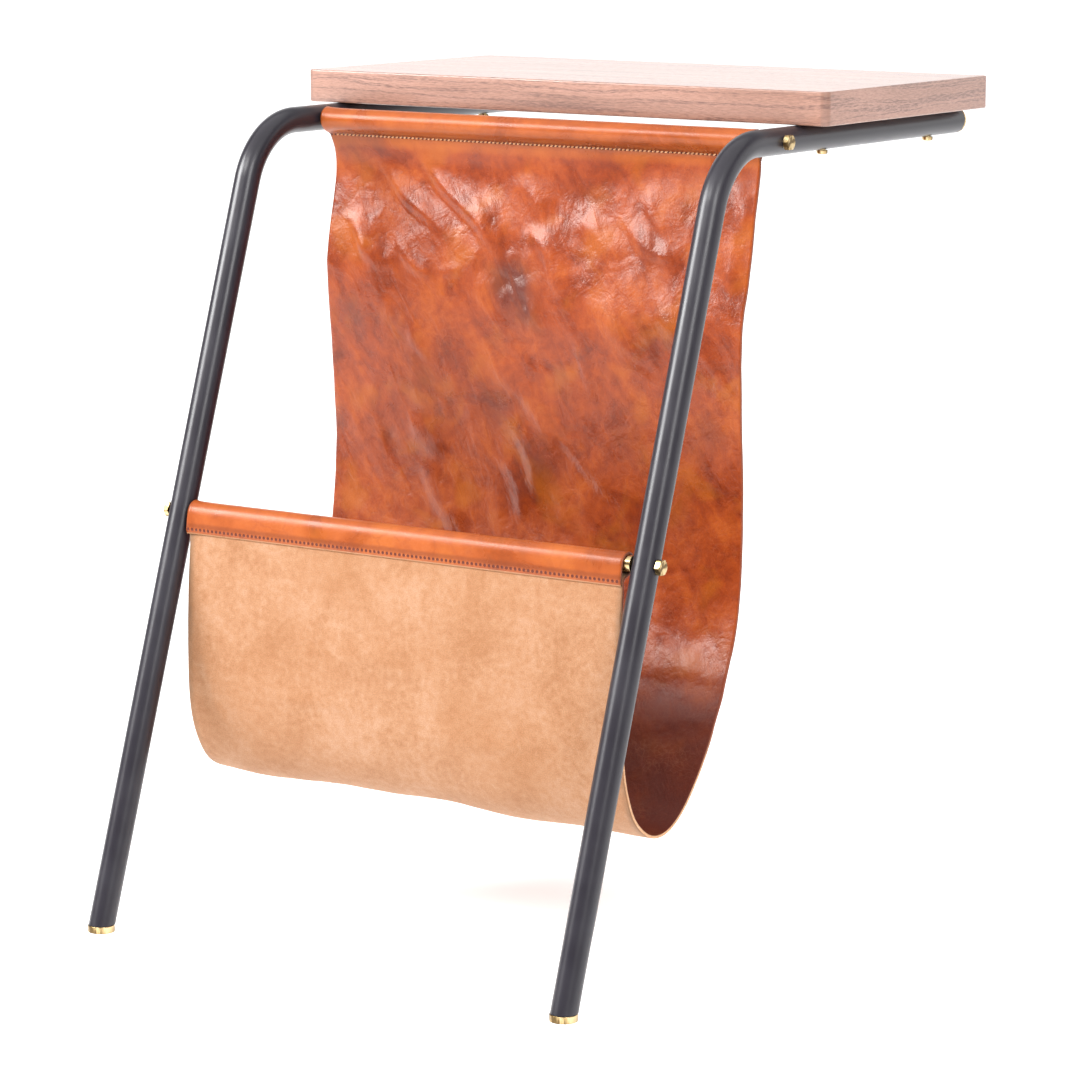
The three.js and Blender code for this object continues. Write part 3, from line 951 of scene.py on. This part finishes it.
# Folds in the back of the hanging sheet: [x, z] of the two ends, half-width and height.
BACK_FOLDS = [
    [[-144, 533], [-88, 490], 7, 3.1],
    [[-104, 540], [-34, 478], 8, 3.8],
    [[-122, 478], [-92, 452], 5, 1.6],
    [[-168, 490], [-138, 462], 7, 2.4],
    [[0, 490], [28, 456], 10, 2.4],
    [[80, 500], [120, 476], 8, 1.8],
    [[94, 524], [110, 498], 7, 1.1],
    [[45, 498], [76, 482], 8, 1.8],
    [[170, 536], [176, 505], 7, 1.3],
    [[150, 496], [172, 464], 8, 1.8],
    [[-108, 416], [-96, 395], 7, 2.2],
    [[-110, 346], [-88, 322], 12, 2.8],
    [[-98, 316], [-73, 268], 12, 3.0],
    [[-13, 350], [8, 304], 12, 2.4],
    [[-26, 328], [-6, 290], 10, 1.9],
    [[-30, 394], [20, 346], 12, 2.2],
    [[16, 350], [80, 307], 11, 1.9],
    [[-20, 529], [6, 505], 9, 2.0],
    [[-50, 512], [-28, 486], 8, 1.7],
    [[-84, 462], [-62, 456], 5, 0.9],
    [[-34, 466], [-4, 447], 5, 0.9],
    [[-6, 452], [5, 426], 5, 1.2],
    [[66, 434], [112, 398], 9, 1.8],
    [[118, 442], [152, 400], 9, 2.0],
    [[36, 424], [62, 378], 8, 1.4],
    [[156, 424], [168, 380], 8, 1.6],
    [[60, 200], [190, 188], 12, 1.3],
    [[100, 150], [190, 162], 11, 1.2],
]

# Soft creases in the front of the pocket.
FRONT_FOLDS = [
    [[-120, 170], [-40, 164], 6, 0.8],
    [[-60, 205], [30, 196], 8, 0.6],
    [[20, 150], [110, 158], 7, 0.7],
    [[-175, 190], [-150, 140], 7, 0.8],
]

# Dents and dark spots in the back: [x, z], radius, and depth or strength. The spots on the dents
# are painted shade in them; the others are darker patches of the leather.
DENTS = [
    [[-18, 459], 11, 2.7],
    [[-4, 443], 7, 1.8],
    [[152, 216], 22, 2.4],
    [[-22, 481], 7, 1.6],
    [[-134, 331], 6, 1.8],
    [[36, 521], 12, 1.5],
    [[-32, 362], 10, 1.2],
]
DARK_SPOTS = [
    [[-17, 455], 17, 1.5],
    [[-5, 434], 11, 1.0],
    [[36, 521], 13, 0.35],
    [[-160, 424], 13, 0.55],
    [[-32, 362], 14, 0.55],
    [[19, 323], 16, 0.3],
    [[155, 360], 16, 0.5],
    [[86, 354], 18, 0.35],
    [[-98, 380], 12, 0.35],
    [[-134, 331], 8, 0.6],
    [[98, 480], 16, 0.3],
    [[-171, 543], 10, 0.35],
    [[120, 300], 22, 0.4],
]


def fold_height(x, z, folds):
    """How far the folds lift the sheet: each is steep below and gentle above."""
    lift = np.zeros_like(x)
    for start, end, width, height in folds:
        start, end = np.array(start) * MM, np.array(end) * MM
        along = end - start
        length = np.linalg.norm(along)
        along /= length
        px, pz = x - start[0], z - start[1]
        share = (px * along[0] + pz * along[1]) / length
        away = px * along[1] - pz * along[0] + 2.5 * MM * np.sin(share * 4 + x * 30)
        reach = fade(share, -0.25, 0.3) * (1 - fade(share, 0.7, 1.3))
        half_width = np.where(away > 0, 0.55, 1.25) * width * MM
        lift += height * MM * reach * np.exp(-((away / half_width) ** 2))
    return lift


def spots(x, z, places):
    """The sum of soft round spots."""
    total = np.zeros_like(x)
    for (at_x, at_z), radius, amount in places:
        away = np.hypot(x - at_x * MM, z - at_z * MM) / (radius * MM)
        total += amount * np.exp(-(away**2))
    return total


def gathers(x, z):
    """Small rays of gathered leather round the deepest dent."""
    (at_x, at_z), radius, _ = DENTS[0]
    dx, dz = x - at_x * MM, z - at_z * MM
    away = np.hypot(dx, dz) / (radius * MM)
    return 0.5 * MM * np.cos(7 * np.arctan2(dz, dx) + 0.8) * away**2 * np.exp(-away)


def crumple(across, along):
    """Noise for the sheet over a grid: broad waves, slanting ridges and small dents."""
    broad, medium, small = (np.zeros_like(across) for _ in range(3))
    rows, columns = across.shape
    for i in range(rows):
        for j in range(columns):
            u, s = across[i, j], along[i, j]
            broad[i, j] = noise.noise((u * 9, s * 7, 1.3))
            warp = 0.4 * noise.noise((u * 22, s * 22, 5.1))
            ridge = 1 - 2 * abs(noise.noise((u * 26 - s * 14 + warp, s * 9 + warp, 9.7)))
            medium[i, j] = ridge * ridge
            small[i, j] = noise.noise((u * 70, s * 55, 3.3))
    return broad, medium, small


def waves(across, along, back, front):
    """Uneven lift of the hanging sheet, and its smallest dents on their own."""
    broad, medium, small = crumple(across, along)
    lift = (
        2.6 * MM * broad * (1 - 0.55 * front)
        + 0.8 * MM * medium * (0.4 + 0.6 * back) * (1 - 0.75 * front)
        + 0.35 * MM * small * (1 - 0.4 * front)
    )
    return lift, small


def lifted(across, y, z, lift):
    """The sheet's middle surface, moved off its hanging line, and its normals."""
    tangent_y, tangent_z = np.gradient(y, axis=0), np.gradient(z, axis=0)
    size = np.hypot(tangent_y, tangent_z)
    centre = np.stack([across, y + lift * tangent_z / size, z - lift * tangent_y / size], axis=2)
    normal = np.cross(np.gradient(centre, axis=0), np.gradient(centre, axis=1))
    return centre, normal / np.linalg.norm(normal, axis=2, keepdims=True)


def make_sling():
    """The sling as a thick sheet over both rods."""
    left, right = relaxed(sling_line(LEFT_LINE)), relaxed(sling_line(RIGHT_LINE))
    middle = (left + right) / 2
    walked = walked_along(middle)
    seams = {level: seam_places(level, middle, walked) for level in LEVELS}
    upper_seam, lower_seam = seams["upper"][1], seams["lower"][0]
    bottom = walked[np.argmin(middle[:, 1])]

    share = np.linspace(0, 1, COLUMNS)[None, :]
    along = np.repeat(walked[:, None], COLUMNS, axis=1)
    hanging = fade(along, upper_seam + 3 * MM, upper_seam + 50 * MM)
    hanging *= 1 - fade(along, lower_seam - 45 * MM, lower_seam - 3 * MM)
    looped = 1 - fade(along, upper_seam - 4 * MM, upper_seam + 12 * MM)
    looped += fade(along, lower_seam - 12 * MM, lower_seam + 4 * MM)
    across = (share - 0.5) * SLING_WIDTH - looped * (1.6 - 0.6 * share) * MM
    y = left[:, :1] * (1 - share) + right[:, :1] * share
    z = left[:, 1:] * (1 - share) + right[:, 1:] * share

    back = 1 - fade(along, bottom - 110 * MM, bottom - 20 * MM)
    front = fade(along, bottom - 60 * MM, bottom + 40 * MM)
    lift, small = waves(across, along, back, front)
    lift *= hanging
    lift += hanging * back * (fold_height(across, z, BACK_FOLDS) + gathers(across, z))
    lift -= hanging * front * fold_height(across, z, FRONT_FOLDS)
    lift -= hanging * back * spots(across, z, DENTS) * MM
    lift += (1 - hanging) * small * 0.12 * MM
    lift += looped * 0.9 * MM * np.exp(-share * SLING_WIDTH / (5 * MM))
    near_bottom = np.exp(-(((along - bottom) / (70 * MM)) ** 2))
    lift += near_bottom * 1.6 * MM * np.sin(across * 42 + 1.1) * np.cos(across * 17 - 0.6)
    centre, normal = lifted(across, y, z, lift)

    # How deep in the pocket each place is: it darkens the colour there as painted shade, and dulls
    # and ripples the leather as wear.
    pocket_shade_and_wear = fade(along, bottom - 200 * MM, bottom - 88 * MM)
    pocket_shade_and_wear *= 1 - fade(along, lower_seam - 60 * MM, lower_seam)
    pale_rim = fade(along, bottom - 110 * MM, bottom - 50 * MM)
    pale_rim *= 1 - fade(along, lower_seam - 40 * MM, lower_seam - 10 * MM)
    maps = {
        "sheet": (across, along),
        "seam": (above_stitches(along, seams), np.minimum(along, walked[-1] - along)),
        "age": (pocket_shade_and_wear, back * np.clip(spots(across, z, DARK_SPOTS), 0, 1)),
        "rim": (pale_rim, hanging),
    }
    build_sheet(centre, normal, maps)
    for level in LEVELS:
        make_stitches(level, seams[level], centre, normal, walked)


def seam_places(level, middle, walked):
    """How far along the sheet the two rows of stitches of a seam are."""
    stitch_height = RODS[level].z - SEAM_BELOW_ROD - THREAD_BELOW_SEAM
    near_rod = np.abs(middle[:, 0] - RODS[level].y) < 2 * SEAM_OFFSETS[level]
    higher = middle[:, 1] > stitch_height
    crossings = np.flatnonzero((higher[1:] != higher[:-1]) & near_rod[1:])
    places = []
    for i in crossings:
        drop = (stitch_height - middle[i, 1]) / (middle[i + 1, 1] - middle[i, 1])
        places.append(float(walked[i] + drop * (walked[i + 1] - walked[i])))
    return places


def above_stitches(along, seams):
    """How far above the nearest row of stitches each place is, below being negative."""
    rising = zip((at for level in LEVELS for at in seams[level]), (-1, 1, -1, 1))
    above = np.stack([(at - along) * upward for at, upward in rising])
    nearest = np.argmin(np.abs(above), axis=0)
    return np.take_along_axis(above, nearest[None], axis=0)[0]


def border_of(rows, columns):
    """The places round the outside of a grid, in order, as row and column indices."""
    border = [(i, 0) for i in range(rows)]
    border += [(rows - 1, j) for j in range(1, columns)]
    border += [(i, columns - 1) for i in range(rows - 2, -1, -1)]
    border += [(0, j) for j in range(columns - 2, 0, -1)]
    return tuple(np.array(border).T)


def build_sheet(centre, normal, maps):
    """Two faces and a rounded rim between them, as one closed mesh."""
    rows, columns = centre.shape[:2]
    skiving = 3 * MM
    thinned = 1 - fade(maps["seam"][1], 0.0, skiving)[:, :, None]
    smooth_side = centre + normal * LEATHER * (0.5 - 0.6 * thinned)
    nap_side = centre - normal * LEATHER / 2
    between_sides = (smooth_side + nap_side) / 2
    for side in (smooth_side, nap_side):
        side[:, 0, 0] += 0.3 * MM
        side[:, -1, 0] -= 0.3 * MM
    border = border_of(rows, columns)
    sides = [smooth_side.reshape(-1, 3), nap_side.reshape(-1, 3), between_sides[border]]
    points = np.vstack(sides)

    count = rows * columns
    grid = np.arange(count).reshape(rows, columns)
    a, b = grid[:-1, :-1].ravel(), grid[:-1, 1:].ravel()
    c, d = grid[1:, 1:].ravel(), grid[1:, :-1].ravel()
    smooth_faces = np.stack([a, d, c, b], axis=1)
    nap_faces = np.stack([a, b, c, d], axis=1) + count
    ring = grid[border]
    rim = 2 * count + np.arange(len(ring))
    after, rim_after = np.roll(ring, -1), np.roll(rim, -1)
    outer = np.stack([ring, rim, rim_after, after], axis=1)
    inner = np.stack([rim, ring + count, after + count, rim_after], axis=1)
    rim_faces = np.vstack([outer, inner])
    faces = np.vstack([smooth_faces, nap_faces, rim_faces])
    which = np.repeat([0, 1, 2], [len(smooth_faces), len(nap_faces), len(rim_faces)])
    corners = faces.ravel()
    layers = {}
    for name, pair in maps.items():
        columns_of = [np.concatenate([v.ravel(), v.ravel(), v[border]]) for v in pair]
        layers[name] = np.stack(columns_of, axis=1)[corners]
    skins = [MATERIALS[name] for name in ("smooth_leather", "suede", "leather_edge")]
    sling = make_piece("sling_leather", points, faces, skins, "leather", ["sling"], which, layers)
    place_piece(sling)


def stitch_rings(start, end, seam, thread):
    """One stitch: its ends are thin and sunk, and its middle stands proud."""
    x, *rows = seam
    radius, raised = thread
    rings = []
    steps = 7
    for i in range(steps):
        t = i / (steps - 1)
        swell = math.sin(math.pi * t)
        at_x = start + (end - start) * (0.5 + STITCH_SPAN * (t - 0.5))
        base, out, along = (
            np.array([np.interp(at_x, x, row[:, axis]) for axis in range(3)]) for row in rows
        )
        rise = LEATHER / 2 + STITCH_ARCH * swell + raised
        spot = base + out * rise + along * ((0.5 - t) * STITCH_SLANT)
        thick = radius * (0.72 + 0.28 * swell)
        around = [out * thick * math.cos(a) + along * thick * math.sin(a) for a in turns(8)]
        rings.append([Vector(spot + offset) for offset in around])
    return rings


def make_stitches(level, rows_at, centre, normal, walked):
    """Saddle stitches along both faces of a seam, as one piece."""
    reach = SLING_WIDTH / 2 - STITCH_MARGIN
    first = math.ceil(-reach / STITCH_PITCH - 0.5)
    last = math.floor(reach / STITCH_PITCH - 0.5)
    points, faces = [], []
    for at in rows_at:
        row = int(np.clip(np.searchsorted(walked, at), 1, len(walked) - 1))
        share = (at - walked[row - 1]) / (walked[row] - walked[row - 1])
        line = centre[row - 1] * (1 - share) + centre[row] * share
        facing = normal[row - 1] * (1 - share) + normal[row] * share
        down = centre[row] - centre[row - 1]
        down /= np.linalg.norm(down, axis=1, keepdims=True)
        seam = (centre[0, :, 0], line, facing, down)
        for k in range(first, last):
            start, end = (k + 0.5) * STITCH_PITCH, (k + 1.5) * STITCH_PITCH
            more_points, more_faces = skin(stitch_rings(start, end, seam, THREADS[level]))
            offset = len(points)
            points += more_points
            faces += [tuple(v + offset for v in face) for face in more_faces]
    thread, nodes = [MATERIALS["thread"]], [f"seam_thread_{level}"]
    stitches = make_piece(f"seam_stitches_{level}", points, faces, thread, "thread", nodes)
    place_piece(stitches)


# ------------ floor, light, camera


def make_floor():
    material, tree, shader = new_material("pale_floor")
    place = place_in_piece(tree)
    tone = cloudy(tree, place, 0.8, 2)
    base = ramp(tree, tone, (0.3, rgb(0.97, 0.97, 0.97)), (0.7, rgb(0.985, 0.985, 0.985)))
    look = {
        "Base Color": base,
        "Roughness": 0.9,
        "Specular IOR Level": 0.1,
        "Emission Color": rgb(1.0, 1.0, 1.0),
        "Emission Strength": 0.25,
    }
    feed(tree, shader, look)
    outline = circle(60.0, 0.0, 96)
    mesh = bpy.data.meshes.new("floor")
    mesh.from_pydata([tuple(p) for p in outline], [], [tuple(range(len(outline)))])
    mesh.materials.append(material)
    floor = into_scene("floor", mesh)


def aim(obj, place, target):
    obj.location = place
    obj.rotation_mode = "QUATERNION"
    obj.rotation_quaternion = (Vector(target) - Vector(place)).to_track_quat("-Z", "Y")


def softbox(name, place, target, width, height, power):
    light = bpy.data.lights.new(name, "AREA")
    light.shape = "RECTANGLE"
    light.size, light.size_y, light.energy = width, height, power
    aim(into_scene(name, light), place, target)


def make_lights():
    sun = bpy.data.lights.new("overhead", "SUN")
    sun.energy = 2.5
    sun.angle = math.radians(100)
    aim(into_scene("overhead", sun), (0.3, -0.6, 3.0), (0, 0, 0))
    middle = (0, -0.05, 0.3)
    softbox("key", (-2.38, -2.02, 2.05), middle, 1.6, 1.4, 184)
    softbox("fill", (2.55, -1.74, 2.05), middle, 1.0, 1.5, 56)
    softbox("top", (-0.37, -2.15, 2.45), middle, 1.4, 0.55, 36)
    make_world()


def make_world():
    """A dim room with a bright wall low behind the table."""
    world = bpy.data.worlds.new("studio")
    bpy.context.scene.world = world
    world.use_nodes = True
    tree = world.node_tree
    direction = add(tree, "ShaderNodeTexCoord").outputs["Generated"]
    parts = add(tree, "ShaderNodeSeparateXYZ", {0: direction}).outputs
    behind = between(tree, parts[1], 0.1, 0.6)
    beside = between(tree, parts[0], 0.2, 0.8, 0.0, 0.3)
    low = between(tree, calculate(tree, "ABSOLUTE", parts[2]), 0.25, 0.75, 1.0, 0.0)
    wall = product(tree, calculate(tree, "MAXIMUM", behind, beside), low)
    tone = blend_colours(tree, wall, rgb(0.16, 0.16, 0.165), rgb(1.0, 1.0, 1.0))
    strength = between(tree, wall, 0.0, 1.0, 1.0, 1.7)
    feed(tree, tree.nodes["Background"], {"Color": tone, "Strength": strength})


def make_camera():
    azimuth, elevation, roll = (math.radians(a) for a in (33.77, 9.904, 0.163))
    distance = 3.0414
    target = Vector((-0.0132, BOARD_LOW.y, 0.2616))
    level = math.cos(elevation)
    back = Vector((math.sin(azimuth) * level, -math.cos(azimuth) * level, math.sin(elevation)))
    data = bpy.data.cameras.new("camera")
    data.sensor_width = 36.0
    data.lens = 137.36
    camera = into_scene("camera", data)
    turn = (-back).to_track_quat("-Z", "Y").to_matrix().to_4x4() @ Matrix.Rotation(roll, 4, "Z")
    camera.matrix_world = Matrix.Translation(target + back * distance) @ turn
    bpy.context.scene.camera = camera


# ------------ the scene

MATERIALS = {
    "walnut": walnut(),
    "smooth_leather": smooth_leather(),
    "suede": suede(),
    "leather_edge": leather_edge(),
    "thread": waxed_thread(),
    "black_paint": black_paint(),
    "brass": satin_brass(),
}

make_camera()
make_board()
for side, sign in SIDES.items():
    make_side_tube(side, sign)
    make_foot(side, sign)
    make_arm_cap(side, sign)
    for level in LEVELS:
        make_rod_bolt(level, side, sign)
    for row in ("front", "rear"):
        make_board_screw(f"{side}_{row}")
for level in LEVELS:
    make_rod(level)
make_sling()
make_floor()
make_lights()
bpy.context.scene.view_settings.view_transform = "Standard"
